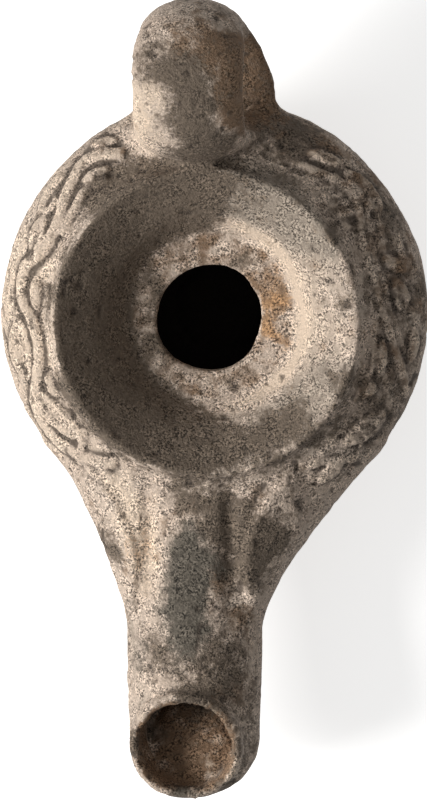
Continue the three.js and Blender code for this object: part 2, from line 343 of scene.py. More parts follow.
# %% The belly's arcs
def belly_arc(from_radius, to_radius, rise, wall, count=24):
    radius = BODY_RADIUS - wall
    angles = np.linspace(math.asin(from_radius / radius), math.asin(to_radius / radius), count)
    height = (rise - math.copysign(wall, rise)) * np.cos(angles)
    return list(zip(radius * np.sin(angles), BELLY_Z + height))


print("widest at", BELLY_Z, "mm, radius", round(belly_arc(0, BODY_RADIUS, CROWN, 0)[-1][0], 2), "mm")

# %% The dish's curve, from the rim to the filling hole
dish_curve = spline(
    [
        (RIM_RADIUS - RIM_THICK / 2, RIM_Z - 0.4),
        (16.6, 23.3),
        (14, 21.2),
        (12.3, 19.2),
        (FLOOR_RADIUS, FLOOR_Z + 0.3),
        (9.4, FLOOR_Z),
        (FILL_RADIUS, FLOOR_Z - 0.4),
    ],
    6,
)
print("dish curve of", len(dish_curve), "points")

# %% Outlines of the body, of the hollow in it and of the room over the dish
body_outline = [
    (0, 0),
    (9.9, 0),
    (10.6, 0.5),
    (11.3, 0),
    (BASE_RADIUS - 0.6, 0),
    (BASE_RADIUS, 0.5),
    *belly_arc(BASE_RADIUS + 1, BODY_RADIUS, -KEEL, 0),
    *belly_arc(BODY_RADIUS, RIM_FOOT_RADIUS, CROWN, 0)[1:],
    (RIM_RADIUS + RIM_THICK / 2 + 0.3, RIM_Z - 1.6),
    (RIM_RADIUS + RIM_THICK / 2, RIM_Z - 0.4),
    (RIM_RADIUS, RIM_Z),
    (0, RIM_Z),
]
hollow_outline = [
    (0, WALL),
    *belly_arc(BASE_RADIUS - 3, BODY_RADIUS - WALL, -KEEL, WALL),
    *belly_arc(BODY_RADIUS - WALL, 21.4, CROWN, WALL)[1:],
    *(dish_curve - [0, DISH_THICK]),
    (0, dish_curve[-1][1] - DISH_THICK),
]
room_bottom = FLOOR_Z - DISH_THICK - 3
room_outline = [
    (0, room_bottom),
    (FILL_RADIUS, room_bottom),
    *dish_curve[::-1],
    (RIM_RADIUS - 0.15, RIM_Z),
    (RIM_RADIUS + 0.6, RIM_Z + 16),
    (0, RIM_Z + 16),
]
body_chart = turned_chart(body_outline)
hollow_chart = turned_chart(hollow_outline)
room_chart = turned_chart(room_outline)
print("chart of the body:", body_chart.values.shape, "values")

# %% Sizes of the nozzle and its mouth
NOZZLE_HALF = 9.05
NOZZLE_WALL = 2.3
NOZZLE_SHIFT = -2.6
FLARE_START_Y = -17.4
FLARE_END_Y = -42.5
FLARE_POWER = 1.45
TIP_RADIUS = 8.7
TIP_Y = TIP_END_Y + TIP_RADIUS
MOUTH_RADIUS = 6.3
MOUTH_RING = 1.2
MOUTH_CENTRE = (-3.2, -57.6, 22.0)
MOUTH_TILT = math.radians(16)
print("mouth", 2 * MOUTH_RADIUS, "mm wide, in a ring", MOUTH_RING, "mm thick")

# %% The nozzle's upper and lower line
join_half = math.sqrt(BODY_RADIUS**2 - FLARE_START_Y**2)
flare_growth = (join_half - NOZZLE_HALF) / (FLARE_START_Y - FLARE_END_Y) ** FLARE_POWER
top_curve = spline(
    [
        (FLARE_START_Y, BELLY_Z + CROWN * join_half / BODY_RADIUS),
        (-22, 23.5),
        (-30, 22.5),
        (FLARE_END_Y, 21.9),
        (-50, 22.3),
        (TIP_Y, 21.3),
    ],
    20,
)[::-1]
under_curve = spline(
    [
        (FLARE_START_Y, BELLY_Z - KEEL * join_half / BODY_RADIUS),
        (-23, 3.7),
        (-32, 5.6),
        (FLARE_END_Y, 6.6),
        (TIP_Y, 7.2),
    ],
    20,
)[::-1]
print("the nozzle leaves the belly", round(2 * join_half, 1), "mm wide")


# %% The nozzle's width and middle
def nozzle_half_width(y):
    flare = NOZZLE_HALF + flare_growth * np.maximum(y - FLARE_END_Y, 0) ** FLARE_POWER
    taper = (TIP_RADIUS - NOZZLE_HALF) * smoothstep(-FLARE_END_Y, -TIP_Y, -y)
    return flare + taper


def middle_x(y):
    return NOZZLE_SHIFT * smoothstep(-FLARE_START_Y, -FLARE_END_Y, -y)


print("half width by y:", {y: round(float(nozzle_half_width(y)), 2) for y in (-20, -30, -42.5, TIP_Y)})


# %% The nozzle's field: 1 on its skin, scaled to millimetres by how fast it grows
def nozzle_field(x, y, z, share, back_y, front_gap):
    place = np.clip(y, TIP_Y, FLARE_START_Y)
    across = (x - middle_x(place)) / (nozzle_half_width(place) * share)
    top = np.interp(place, top_curve[:, 0], top_curve[:, 1]) - BELLY_Z
    under = BELLY_Z - np.interp(place, under_curve[:, 0], under_curve[:, 1])
    reach = np.where(z > BELLY_Z, top, under) * share
    up = (z - BELLY_Z) / reach
    beyond = np.minimum(y - TIP_Y, 0) / (TIP_RADIUS - front_gap)
    size = np.sqrt(across**2 + up**2 + beyond**2) + 1e-6
    steepness = np.sqrt(
        (across / (nozzle_half_width(place) * share)) ** 2
        + (up / reach) ** 2
        + (beyond / (TIP_RADIUS - front_gap)) ** 2
    )
    field = (size - 1) * size / np.maximum(steepness, 1e-3)
    return np.maximum(field, y - back_y)


# %% The mouth's charts
mouth_edge = MOUTH_RADIUS + MOUTH_RING
cup_outline = [
    (0, -14),
    (4, -13),
    (6.4, -10),
    (mouth_edge, -6),
    (mouth_edge + 0.1, -1.6),
    (mouth_edge, -0.5),
    (mouth_edge - 0.5, 0),
    (0, 0),
]
wick_outline = [
    (0, -12.4),
    (3.4, -11.6),
    (5.5, -8.8),
    (MOUTH_RADIUS, -4),
    (MOUTH_RADIUS - 0.1, -1),
    (MOUTH_RADIUS + 0.3, 0.2),
    (MOUTH_RADIUS + 0.3, 12),
    (0, 12),
]
cup_chart = turned_chart(cup_outline, (-1, -18), (33, 16))
wick_chart = turned_chart(wick_outline, (-1, -18), (33, 16))
print("mouth ring radius", round(mouth_edge, 2), "mm")


# %% Where a point lies from the mouth, which tips towards the flame
def mouth_place(x, y, z):
    """Radius from the mouth's axis and height over its lip."""
    away = y - MOUTH_CENTRE[1]
    up = z - MOUTH_CENTRE[2]
    along = away * math.cos(MOUTH_TILT) + up * math.sin(MOUTH_TILT)
    height = up * math.cos(MOUTH_TILT) - away * math.sin(MOUTH_TILT)
    return np.hypot(x - MOUTH_CENTRE[0], along), height


print("the mouth is tipped by", round(math.degrees(MOUTH_TILT)), "degrees")

# %% Sizes of the handle, and the line its strap follows
HANDLE_SHIFT = -1.7
STRAP_HALF_WIDTH = 7.4
STRAP_SPREAD = 0.25
STRAP_DRAWN_IN = 0.2
FOOT_LEAN = 0.8
STRAP_BULGE = 3.4
STRAP_INNER = 1.5
LOOP_RADIUS = 7.4
LOOP_Y = HANDLE_BACK_Y - LOOP_RADIUS - STRAP_BULGE
LOOP_Z = HANDLE_TOP_Z - LOOP_RADIUS - STRAP_BULGE

loop_angles = np.radians(np.arange(180, -63, -5.5))
handle_path = np.array(
    [
        (LOOP_Y - LOOP_RADIUS - 0.2, BELLY_Z + 5),
        *zip(LOOP_Y + LOOP_RADIUS * np.cos(loop_angles), LOOP_Z + LOOP_RADIUS * np.sin(loop_angles)),
        (BODY_RADIUS - 3.4, BELLY_Z + 1),
    ]
)
print("strap", round(float(np.hypot(*np.diff(handle_path, axis=0).T).sum()), 1), "mm long")


# %% The handle's field
def handle_side(y, z):
    distance, side, _ = nearest_on_path(y, z, handle_path)
    return np.where(side < 0, -distance, distance)


handle_chart = Chart((12, 2), (50, 44), handle_side)


def handle_field(x, y, z):
    outwards = handle_chart(y, z)
    back = smoothstep(LOOP_Y - 2, LOOP_Y + 8, y)
    spread = smoothstep(0, 8, LOOP_Z - z) * (1 - back)
    drawn_in = smoothstep(LOOP_Y + 4, LOOP_Y + LOOP_RADIUS + STRAP_BULGE, y)
    half_width = STRAP_HALF_WIDTH * (1 + STRAP_SPREAD * spread - STRAP_DRAWN_IN * drawn_in)
    half_thick = np.where(outwards > 0, STRAP_BULGE, STRAP_INNER)
    across = (x - HANDLE_SHIFT - FOOT_LEAN * spread) / half_width
    through = outwards / half_thick
    size = np.sqrt(across**2 + through**2) + 1e-6
    steepness = np.sqrt((across / half_width) ** 2 + (through / half_thick) ** 2)
    field = (size - 1) * size / np.maximum(steepness, 1e-3)
    return np.where(y < 12.5, 9.0, field)


# %% The furrows and lobes on the nozzle's shoulders
BAND_HALF = 5.4
FURROW_Y = -29.0
LOBE_OUT = 11.1
LOBE_Y = -30.0
LOBE_HALF_LENGTH = 8.4
LOBE_HALF_BREADTH = 2.9
LOBE_HEIGHT = 1.1
LOBE_LEAN = 0.3


def furrow(x, y):
    along = np.exp(-(((y - FURROW_Y) / 9) ** 2))
    return along * np.exp(-(((np.abs(x - NOZZLE_SHIFT) - BAND_HALF) / 1.1) ** 2))


def lobe_place(x, y, side):
    """How far out from the middle of a lobe a point lies: 1 is its rim."""
    lean = -side * LOBE_LEAN
    off_x, off_y = x - NOZZLE_SHIFT - side * LOBE_OUT, y - LOBE_Y
    along = (off_y * math.cos(lean) - off_x * math.sin(lean)) / LOBE_HALF_LENGTH
    across = (off_x * math.cos(lean) + off_y * math.sin(lean)) / LOBE_HALF_BREADTH
    return np.sqrt(along**2 + (across / (1 - 0.35 * along**2).clip(0.3)) ** 2)


def lobe(x, y, side):
    place = lobe_place(x, y, side)
    rim = np.exp(-(((place - 1.05) / 0.2) ** 2))
    return 0.62 * smoothstep(1.15, 0.75, place) + 0.5 * rim


lobe_middle = lobe(np.array([NOZZLE_SHIFT + LOBE_OUT]), np.array([LOBE_Y]), 1) * LOBE_HEIGHT
print("a lobe is", lobe_middle.round(2)[0], "mm high in its middle")

# %% Every part's field, by name
DISH_AXIS = (-0.1, -0.5)  # the dish was cut a little off the belly's centre
EARTH_CENTRE = (-1.4, -59.6, 11.4)  # the earth that still lies in the mouth
EARTH_REACH = (8, 9, 5)


def clay_parts(points):
    """The field of each part, by name, at some points."""
    x, y, z = points.T
    dish_share = smoothstep(16, 24, z)
    radius = np.hypot(x - DISH_AXIS[0] * dish_share, y - DISH_AXIS[1] * dish_share)
    hole_share = smoothstep(13, 9, radius)
    turn = np.arctan2(y, x)
    hole_swell = 0.16 * np.cos(2 * turn - 1.7) + 0.1 * np.cos(3 * turn - 3.4) + 0.06 * np.cos(5 * turn)
    dish_radius = np.hypot(x - DISH_AXIS[0] + 0.25 * hole_share, y - DISH_AXIS[1]) - hole_swell * hole_share
    nozzle = nozzle_field(x, y, z, 1.0, -12.0, 0.0)
    above = smoothstep(BELLY_Z, BELLY_Z + 6, z)
    nozzle = nozzle + above * (furrow(x, y) - LOBE_HEIGHT * (lobe(x, y, -1) + lobe(x, y, 1)))
    mouth_radius, mouth_height = mouth_place(x, y, z)
    share = 1 - NOZZLE_WALL / NOZZLE_HALF
    tunnel = nozzle_field(x, y, z, share, -19.5, NOZZLE_WALL)
    return {
        "belly": body_chart(radius, z),
        "nozzle": nozzle,
        "cup": cup_chart(mouth_radius, mouth_height),
        "handle": handle_field(x, y, z),
        "hollow": soft_join(hollow_chart(radius, z), tunnel, 1.5),
        "dish": room_chart(dish_radius, z),
        "wick hole": wick_chart(mouth_radius, mouth_height),
        "earth": EARTH_REACH[2] * (np.sqrt((((points - EARTH_CENTRE) / EARTH_REACH) ** 2).sum(1)) - 1),
    }


print("parts:", ", ".join(clay_parts(np.zeros((1, 3)))))

# %% One skin from all the parts, with a fillet in millimetres at each join
BELLY_FILLET = 1.6
HANDLE_FILLET = 2.4


def clay_field(points):
    part = clay_parts(points)
    skin = soft_join(part["belly"], part["nozzle"], BELLY_FILLET)
    skin = soft_join(skin, part["cup"], 1.2)
    skin = soft_join(skin, part["handle"], HANDLE_FILLET)
    skin = soft_cut(skin, part["hollow"], 0.5)
    skin = soft_cut(skin, part["dish"], 0.6)
    skin = soft_cut(skin, part["wick hole"], 0.5)
    skin = soft_join(skin, np.maximum(part["earth"], part["hollow"] - 0.8), 1.0)
    return np.maximum(skin, -points[:, 2])


middle_points = np.array([(0, 0, 1.5), (0, 0, 9), (0, 0, 30)], float)
print("base wall, hollow and air:", clay_field(middle_points).round(2), "mm")

# %% [markdown]
# ## The scroll on the shoulder
# The lamp was pressed in a two-part mould. Its maker had cut the ornament into the mould beforehand: a
# winding stem drawn with a blunt tool, and leaves pressed in with a few small stamps, over and over. The
# same two steps suit Geometry Nodes: a profile swept along each stem, and an instance of a leaf stamp on
# each seat. It is all made flat, as a strip whose length is the way round the shoulder and whose width is
# the distance from the middle, and then pressed onto the round shoulder as a height.

# %% From the shoulder to the strip
STRIP_RADIUS = 24.5  # where a millimetre of the strip is a millimetre of the shoulder


def on_strip(degrees, radius):
    return math.radians(degrees) * STRIP_RADIUS, radius


print("a quarter of the way round is", round(on_strip(90, 0)[0], 1), "mm of strip")

# %% The stems: half their width, and angles from +X in degrees with radii in millimetres
stems = {
    "left stem": (0.85, "118 24.4, 128 26.2, 138 25.3, 148 23.7, 158 23.7, 166 25.4, 174 25.2, 182 23.5, "
                        "192 23.2, 200 24.4, 207 26.1, 216 26.5, 224 25.9, 231 24.6, 238 23"),
    "left tendril": (0.6, "126 22.7, 134 23.5, 142 22.9, 151 22.3"),
    "left hook": (0.5, "137 27.3, 143 27.3, 148 26.6, 147 25.6, 143 25.6"),
    "left tie": (0.6, "229 26.4, 226 24.6, 222 22.6"),
    "left groove edge": (0.4, "167 27, 174 26.9, 181 27.2"),
    "right stem": (0.5, "62 23.4, 54 24.1, 46 24.9, 38 24.8, 29 23.2, 20 22.5, 11 22.7, 3 23.1, -5 24.2, "
                        "-11 25.3, -17 26.8, -23 27.9"),
    "right stem's double": (0.3, "46 25.7, 37 25.6, 28 24.2, 20 23.4, 10 23.6, 2 24.1, -5 25.2, -11 26.5"),
    "right vein 1": (0.28, "58 24.8, 52 26.3, 47 27.6"),
    "right vein 2": (0.28, "20 24.6, 15 26.8, 12 27.9"),
    "right vein 3": (0.28, "8 24, 5 25.6, 0 27, -5 27.9"),
    "right vein 4": (0.28, "-14 23.4, -20 25, -28 26.8"),
    "right vein 5": (0.28, "-26 22.8, -33 24, -40 26.2, -45 27.6"),
    "right tendril": (0.4, "2 22.2, -6 22.1, -14 22.8, -22 22.5, -30 22.1"),
    "fan ray 1": (0.3, "51 22.1, 47 23.9"),
    "fan ray 2": (0.3, "46.5 22, 43 24"),
    "fan ray 3": (0.3, "42.5 22, 39.5 24"),
    "fan ray 4": (0.3, "38.5 22, 36.5 23.9"),
    "fan ray 5": (0.3, "35 22.1, 34 23.5"),
    "curl": (0.35, "28 24.4, 25 24.7, 22.6 24, 22.9 23.1, 25 22.8, 26.3 23.4, 25.4 24"),
    "right twig 1": (0.35, "31 25.9, 26 25.5, 20 24.5"),
    "right twig 2": (0.4, "24 27, 18 26.6, 15 27.2"),
    "right tie": (0.5, "-44 27.2, -49 25.2, -56 23.6"),
}
print(len(stems), "stems")

# %% The leaves: their stamp, their two ends on the strip, and half their breadth
PITTED, RIBBED, PLAIN = range(3)
leaves = {
    "left leaf 1": (PLAIN, (124, 23.6), (134, 24.5), 0.9),
    "left leaf 2": (PITTED, (149, 25.6), (161, 25), 1.0),
    "left leaf 3": (PLAIN, (167, 23.6), (178, 23), 0.8),
    "left leaf 4": (PITTED, (181, 25.4), (200, 25.9), 1.5),
    "left leaf 5": (RIBBED, (200, 23), (208, 22.6), 0.8),
    "left leaf 6": (PITTED, (204, 24.9), (224, 23.6), 1.4),
    "left leaf 7": (PITTED, (229, 25.6), (240, 25.4), 1.1),
    "left leaf 8": (PLAIN, (118, 26.2), (126, 27.4), 0.7),
    "right leaf 1": (PLAIN, (60, 25.4), (49, 26.4), 0.8),
    "right leaf 2": (PITTED, (47.5, 26.3), (30.5, 26.5), 1.0),
    "right leaf 3": (RIBBED, (19.5, 24.3), (13, 26.6), 0.8),
    "right leaf 4": (PITTED, (11.5, 25.2), (2, 25.7), 0.9),
    "right leaf 5": (PLAIN, (-7, 23.3), (-19, 23.9), 0.7),
    "right leaf 6": (RIBBED, (-28, 26.2), (-43, 24.6), 1.5),
    "boss": (PLAIN, (-21, 23.4), (-26.5, 23.2), 0.9),
    "right leaf 7": (PLAIN, (-13, 27.2), (-3, 27), 0.6),
    "right leaf 8": (RIBBED, (-46, 25.6), (-57, 26.4), 1.0),
}
print(len(leaves), "leaves")


# %% A leaf stamp, one unit long and broad each way, its height in millimetres
def leaf_stamp(name, height, long_steps=26, cross_steps=12):
    along, across = np.meshgrid(
        -np.cos(np.linspace(0, math.pi, long_steps)), np.linspace(-1, 1, cross_steps), indexing="ij"
    )
    x, y = along.ravel(), (across * (1 - along**2) ** 0.7).ravel()
    points = np.stack([x, y, height(along.ravel(), across.ravel())], 1)
    corner = (np.arange(long_steps - 1)[:, None] * cross_steps + np.arange(cross_steps - 1)).ravel()
    faces = np.stack([corner, corner + cross_steps, corner + cross_steps + 1, corner + 1], 1)
    mesh = bpy.data.meshes.new(name)
    mesh.from_pydata(points.tolist(), [], faces.tolist())
    return bpy.data.objects.new(name, mesh)


# %% The three stamps: a pitted leaf with a raised edge, a ribbed one, and a plain one with a midrib
def pitted(along, across):
    border = np.exp(-(((np.abs(across) - 0.8) / 0.17) ** 2))
    return (0.3 + 0.55 * border) * smoothstep(0, 0.1, 1 - along**2)


def ribbed(along, across):
    ribs = 0.2 * np.cos(13 * (along - 0.35 * np.abs(across)))
    return (0.45 + 0.2 * (1 - across**2) + ribs) * smoothstep(1, 0.8, np.abs(across))


def plain(along, across):
    return 0.8 * np.sqrt(np.clip(1 - across**2, 0, 1)) - 0.35 * np.exp(-((across / 0.14) ** 2))


stamp_set = bpy.data.collections.new("leaf stamps")
for stamp in (leaf_stamp("a pitted", pitted), leaf_stamp("b ribbed", ribbed), leaf_stamp("c plain", plain)):
    stamp_set.objects.link(stamp)
    print("stamp", stamp.name, "of", len(stamp.data.polygons), "faces")

# %% The plan: each stem as a line, each leaf as one point with its size, turn and stamp
plan_points, plan_lines, plan_values = [], [], []
for half_width, places in stems.values():
    nodes = [on_strip(*(float(number) for number in place.split())) for place in places.split(", ")]
    line = spline(nodes, 6)
    first = len(plan_points)
    plan_points += [(x, y, 0) for x, y in line]
    plan_lines += [(first + i, first + i + 1) for i in range(len(line) - 1)]
    plan_values += [(0, 0, half_width, 0, 0)] * len(line)
for kind, start, end, half_breadth in leaves.values():
    (x0, y0), (x1, y1) = on_strip(*start), on_strip(*end)
    plan_points.append(((x0 + x1) / 2, (y0 + y1) / 2, 0))
    half_length = math.hypot(x1 - x0, y1 - y0) / 2
    plan_values.append((1, half_length, half_breadth, math.atan2(y1 - y0, x1 - x0), kind))
plan_mesh = bpy.data.meshes.new("scroll plan")
plan_mesh.from_pydata(plan_points, plan_lines, [])
for name, values in zip(("seat", "half_length", "half_breadth", "turn", "stamp"), zip(*plan_values)):
    plan_mesh.attributes.new(name, "FLOAT", "POINT").data.foreach_set("value", np.array(values, np.float32))
plan = link(bpy.data.objects.new("scroll plan", plan_mesh))
print("plan:", len(plan_points), "points,", len(plan_lines), "lines")

# %% The tree's inputs and output
scroll_tree = bpy.data.node_groups.new("draw the scroll", "GeometryNodeTree")
for name, kind, way in (
    ("Plan", "NodeSocketGeometry", "INPUT"),
    ("Stem rise", "NodeSocketFloat", "INPUT"),
    ("Leaf rise", "NodeSocketFloat", "INPUT"),
    ("Stamps", "NodeSocketCollection", "INPUT"),
    ("Clay", "NodeSocketMaterial", "INPUT"),
    ("Scroll", "NodeSocketGeometry", "OUTPUT"),
):
    scroll_tree.interface.new_socket(name, in_out=way, socket_type=kind)
given = scroll_tree.nodes.new("NodeGroupInput").outputs
print(len(given) - 1, "inputs")

# %% What the plan says of each point
own = {
    name: add_node(
        scroll_tree, "GeometryNodeInputNamedAttribute", {"Name": name}, data_type="FLOAT"
    ).outputs["Attribute"]
    for name in ("seat", "half_length", "half_breadth", "turn", "stamp")
}
parts = add_node(
    scroll_tree,
    "GeometryNodeSeparateGeometry",
    {"Geometry": given["Plan"], "Selection": own["seat"]},
    domain="POINT",
)
print("seats of leaves on one side, lines of stems on the other")

# %% Stems: a round tool drawn along each line
lines = add_node(scroll_tree, "GeometryNodeMeshToCurve", {"Mesh": parts.outputs["Inverted"]})
round_tool = add_node(scroll_tree, "GeometryNodeCurvePrimitiveCircle", {"Resolution": 12, "Radius": 1.0})
swept = add_node(
    scroll_tree,
    "GeometryNodeCurveToMesh",
    {
        "Curve": lines.outputs["Curve"],
        "Profile Curve": round_tool.outputs["Curve"],
        "Scale": own["half_breadth"],
    },
)
stem_scale = add_node(scroll_tree, "ShaderNodeCombineXYZ", {"X": 1.0, "Y": 1.0, "Z": given["Stem rise"]})
stem_mesh = add_node(
    scroll_tree,
    "GeometryNodeTransform",
    {"Geometry": swept.outputs["Mesh"], "Scale": stem_scale.outputs["Vector"]},
)
print(len(scroll_tree.nodes), "nodes with the stems")

# %% Leaves: the right stamp on each seat, turned and stretched to its length and breadth
stamps = add_node(
    scroll_tree,
    "GeometryNodeCollectionInfo",
    {"Collection": given["Stamps"], "Separate Children": True, "Reset Children": True},
)
leaf_turn = add_node(scroll_tree, "ShaderNodeCombineXYZ", {"Z": own["turn"]})
leaf_scale = add_node(
    scroll_tree,
    "ShaderNodeCombineXYZ",
    {"X": own["half_length"], "Y": own["half_breadth"], "Z": given["Leaf rise"]},
)
pressed = add_node(
    scroll_tree,
    "GeometryNodeInstanceOnPoints",
    {
        "Points": parts.outputs["Selection"],
        "Instance": stamps.outputs["Instances"],
        "Pick Instance": True,
        "Instance Index": own["stamp"],
        "Rotation": leaf_turn.outputs["Vector"],
        "Scale": leaf_scale.outputs["Vector"],
    },
)
print(len(scroll_tree.nodes), "nodes with the leaves")

# %% Join both, make them real and give them their clay
both = scroll_tree.nodes.new("GeometryNodeJoinGeometry")
scroll_tree.links.new(stem_mesh.outputs["Geometry"], both.inputs["Geometry"])
scroll_tree.links.new(pressed.outputs["Instances"], both.inputs["Geometry"])
whole = add_node(scroll_tree, "GeometryNodeRealizeInstances", {"Geometry": both.outputs["Geometry"]})
coated = add_node(
    scroll_tree,
    "GeometryNodeSetMaterial",
    {"Geometry": whole.outputs["Geometry"], "Material": given["Clay"]},
)
result = scroll_tree.nodes.new("NodeGroupOutput")
scroll_tree.links.new(coated.outputs["Geometry"], result.inputs["Scroll"])
print(len(scroll_tree.nodes), "nodes in all")

# %% Draw the scroll and keep it as a plain mesh
clay = bpy.data.materials.new("fired_clay_weathered")
drawing = plan.modifiers.new("draw the scroll", "NODES")
drawing.node_group = scroll_tree
scroll_inputs = {"Stem rise": 0.95, "Leaf rise": 1.0, "Stamps": stamp_set, "Clay": clay}
for item in scroll_tree.interface.items_tree:
    if item.name in scroll_inputs:
        drawing[item.identifier] = scroll_inputs[item.name]
graph = bpy.context.evaluated_depsgraph_get()
scroll_mesh = bpy.data.meshes.new_from_object(plan.evaluated_get(graph))
plan.modifiers.remove(drawing)
bpy.data.objects.remove(plan)
print("scroll:", len(scroll_mesh.vertices), "vertices,", len(scroll_mesh.polygons), "faces")

# %% Read the strip's height with rays from above
scroll_shape = bmesh.new()
scroll_shape.from_mesh(scroll_mesh)
scroll_rays = BVHTree.FromBMesh(scroll_shape)
scroll_shape.free()


def height_of_scroll(along, out):
    heights = np.zeros(len(along))
    down = Vector((0, 0, -1))
    for i, (u, v) in enumerate(zip(along.tolist(), out.tolist())):
        hit = scroll_rays.ray_cast(Vector((u, v, 5)), down, 5)[0]
        if hit is not None:
            heights[i] = hit.z
    return heights


print("rays meet", len(scroll_mesh.polygons), "faces")


# %% Wear: each height is mixed with its neighbours'
def softened(values, steps):
    reach = np.arange(-3 * steps, 3 * steps + 1)
    weights = np.exp(-0.5 * (reach / steps) ** 2)
    weights /= weights.sum()
    for axis in (0, 1):
        values = np.apply_along_axis(lambda row: np.convolve(row, weights, "same"), axis, values)
    return values


# %% The scroll's height, sharp as stamped and then worn
low_end, high_end = on_strip(-62, 20.6), on_strip(245, 29)
scroll_height = Chart(low_end, high_end, height_of_scroll)
sharp = scroll_height.values
scroll_height.values = softened(sharp, 1)
print("scroll up to", round(float(scroll_height.values.max()), 2), "mm high")

# %% [markdown]
# ## From the field to a mesh
# The field is measured on a grid of points. Each little cube of the grid that the surface passes through
# gets one vertex, and each grid edge that it crosses gets one face between the four cubes round it: this is
# called a surface net. The vertices are then slid along the field's slope until they sit exactly on its
# zero.


# %% Measure the field on a grid
def field_on_grid(low, high, pitch):
    counts = np.ceil((high - low) / pitch).astype(int) + 1
    axes = [low[i] + np.arange(counts[i]) * pitch for i in range(3)]
    values = np.empty(counts, np.float32)
    y, z = (g.ravel() for g in np.meshgrid(axes[1], axes[2], indexing="ij"))
    for i, x in enumerate(axes[0]):
        values[i] = clay_field(np.stack([np.full(y.shape, x), y, z], 1)).reshape(counts[1:])
    return values


print("a grid of 1 cm at 2 mm:", field_on_grid(np.zeros(3), np.full(3, 10.0), 2.0).shape, "points")


# %% Surface net
def surface_net(values, low, pitch):
    cells = np.array(values.shape) - 1
    strides = np.array([cells[1] * cells[2], cells[2], 1])
    cell_ids, crossings, quads = [], [], []
    for axis in range(3):
        near = np.take(values, range(values.shape[axis] - 1), axis)
        far = np.take(values, range(1, values.shape[axis]), axis)
        index = np.stack(np.nonzero((near < 0) != (far < 0)), 1)
        start, end = near[tuple(index.T)], far[tuple(index.T)]
        point = index.astype(float)
        point[:, axis] += start / (start - end)
        u, v = (axis + 1) % 3, (axis + 2) % 3
        ring = []
        for shift_u, shift_v in ((1, 1), (0, 1), (0, 0), (1, 0)):
            cell = index.copy()
            cell[:, u] -= shift_u
            cell[:, v] -= shift_v
            ring.append(cell @ strides)
            cell_ids.append(ring[-1])
            crossings.append(point)
        quad = np.stack(ring, 1)
        outwards = start < 0
        quads.append(np.where(outwards[:, None], quad, quad[:, ::-1]))
    cell_ids = np.concatenate(cell_ids)
    crossings = np.concatenate(crossings)
    used, place = np.unique(cell_ids, return_inverse=True)
    total = np.bincount(place)
    vertices = np.stack([np.bincount(place, crossings[:, i]) / total for i in range(3)], 1)
    faces = np.searchsorted(used, np.concatenate(quads))
    return low + vertices * pitch, faces


ball = np.linalg.norm(np.indices((9, 9, 9)) - 4.0, axis=0) - 2.5
print("a small ball's net:", len(surface_net(ball, np.zeros(3), 1.0)[1]), "faces")


# %% Slide points onto the field's zero
def field_slope(points, step=0.04):
    slope = np.empty_like(points)
    for axis in range(3):
        shift = np.zeros(3)
        shift[axis] = step
        slope[:, axis] = (clay_field(points + shift) - clay_field(points - shift)) / (2 * step)
    return slope


def settle(points, rounds=3, furthest=0.3):
    for _ in range(rounds):
        slope = field_slope(points)
        steep = np.maximum((slope**2).sum(1), 0.15)
        move = -slope * (clay_field(points) / steep)[:, None]
        length = np.linalg.norm(move, axis=1)
        points = points + move * np.minimum(1, furthest / np.maximum(length, 1e-9))[:, None]
    return points


print("up at the foot of the base:", field_slope(np.array([(12.5, 0, 0.0)])).round(1)[0])

# %% First mesh
PITCH = 0.8
MARGIN = 2.0
grid_low = lamp_low - MARGIN
grid = field_on_grid(grid_low, lamp_high + MARGIN, PITCH)
vertices, quads = surface_net(grid, grid_low, PITCH)
triangles = np.concatenate([quads[:, [0, 1, 2]], quads[:, [0, 2, 3]]])
print(len(vertices), "vertices,", len(triangles), "triangles")

# %% [markdown]
# ## Finer where the eye goes
# The shoulder, the dish, the nozzle's top and the handle carry all the small detail, and the inside of the
# belly carries none. So long edges are halved again where the skin looks up, which gives smaller triangles
# there, and each new point slides onto the field's zero like the others.


# %% Halve the edges that are longer than wanted
def refine(points, faces, wanted):
    edges = np.sort(np.stack([faces, np.roll(faces, -1, axis=1)], 2), axis=2).reshape(-1, 2)
    edges, place = np.unique(edges, axis=0, return_inverse=True)
    start, end = points[edges[:, 0]], points[edges[:, 1]]
    middle = (start + end) / 2
    long = np.linalg.norm(end - start, axis=1) > wanted(middle)
    fresh = np.full(len(edges), -1)
    fresh[long] = len(points) + np.arange(long.sum())
    cut = fresh[place.reshape(-1, 3)]
    new_faces = [faces[(cut < 0).all(1)]]
    every = (cut >= 0).all(1)
    a, b, c = faces[every].T
    ab, bc, ca = cut[every].T
    new_faces += [np.stack(t, 1) for t in ((a, ab, ca), (ab, b, bc), (ca, bc, c), (ab, bc, ca))]
    for turn in range(3):
        face, halves = np.roll(faces, -turn, axis=1), np.roll(cut, -turn, axis=1)
        one = (halves[:, 0] >= 0) & (halves[:, 1] < 0) & (halves[:, 2] < 0)
        a, b, c = face[one].T
        ab = halves[one, 0]
        new_faces += [np.stack(t, 1) for t in ((a, ab, c), (ab, b, c))]
        two = (halves[:, 0] >= 0) & (halves[:, 1] >= 0) & (halves[:, 2] < 0)
        a, b, c = face[two].T
        ab, bc = halves[two, 0], halves[two, 1]
        new_faces += [np.stack(t, 1) for t in ((ab, b, bc), (a, ab, bc), (a, bc, c))]
    return np.concatenate([points, middle[long]]), np.concatenate(new_faces)


one_face = refine(np.eye(3), np.array([[0, 1, 2]]), lambda middle: np.zeros(len(middle)))
print("one face becomes", len(one_face[1]))

# %% How long an edge may be, in millimetres
FINE_EDGE = 0.54
HIDDEN_EDGE = 9.0


def wanted_edge(points):
    part = clay_parts(points)
    inside = (part["hollow"] < 0.35) | (part["wick hole"] < 0.35) & (points[:, 2] < 15)
    up = field_slope(points)[:, 2]
    return np.where(inside | (up < -0.2), HIDDEN_EDGE, FINE_EDGE)


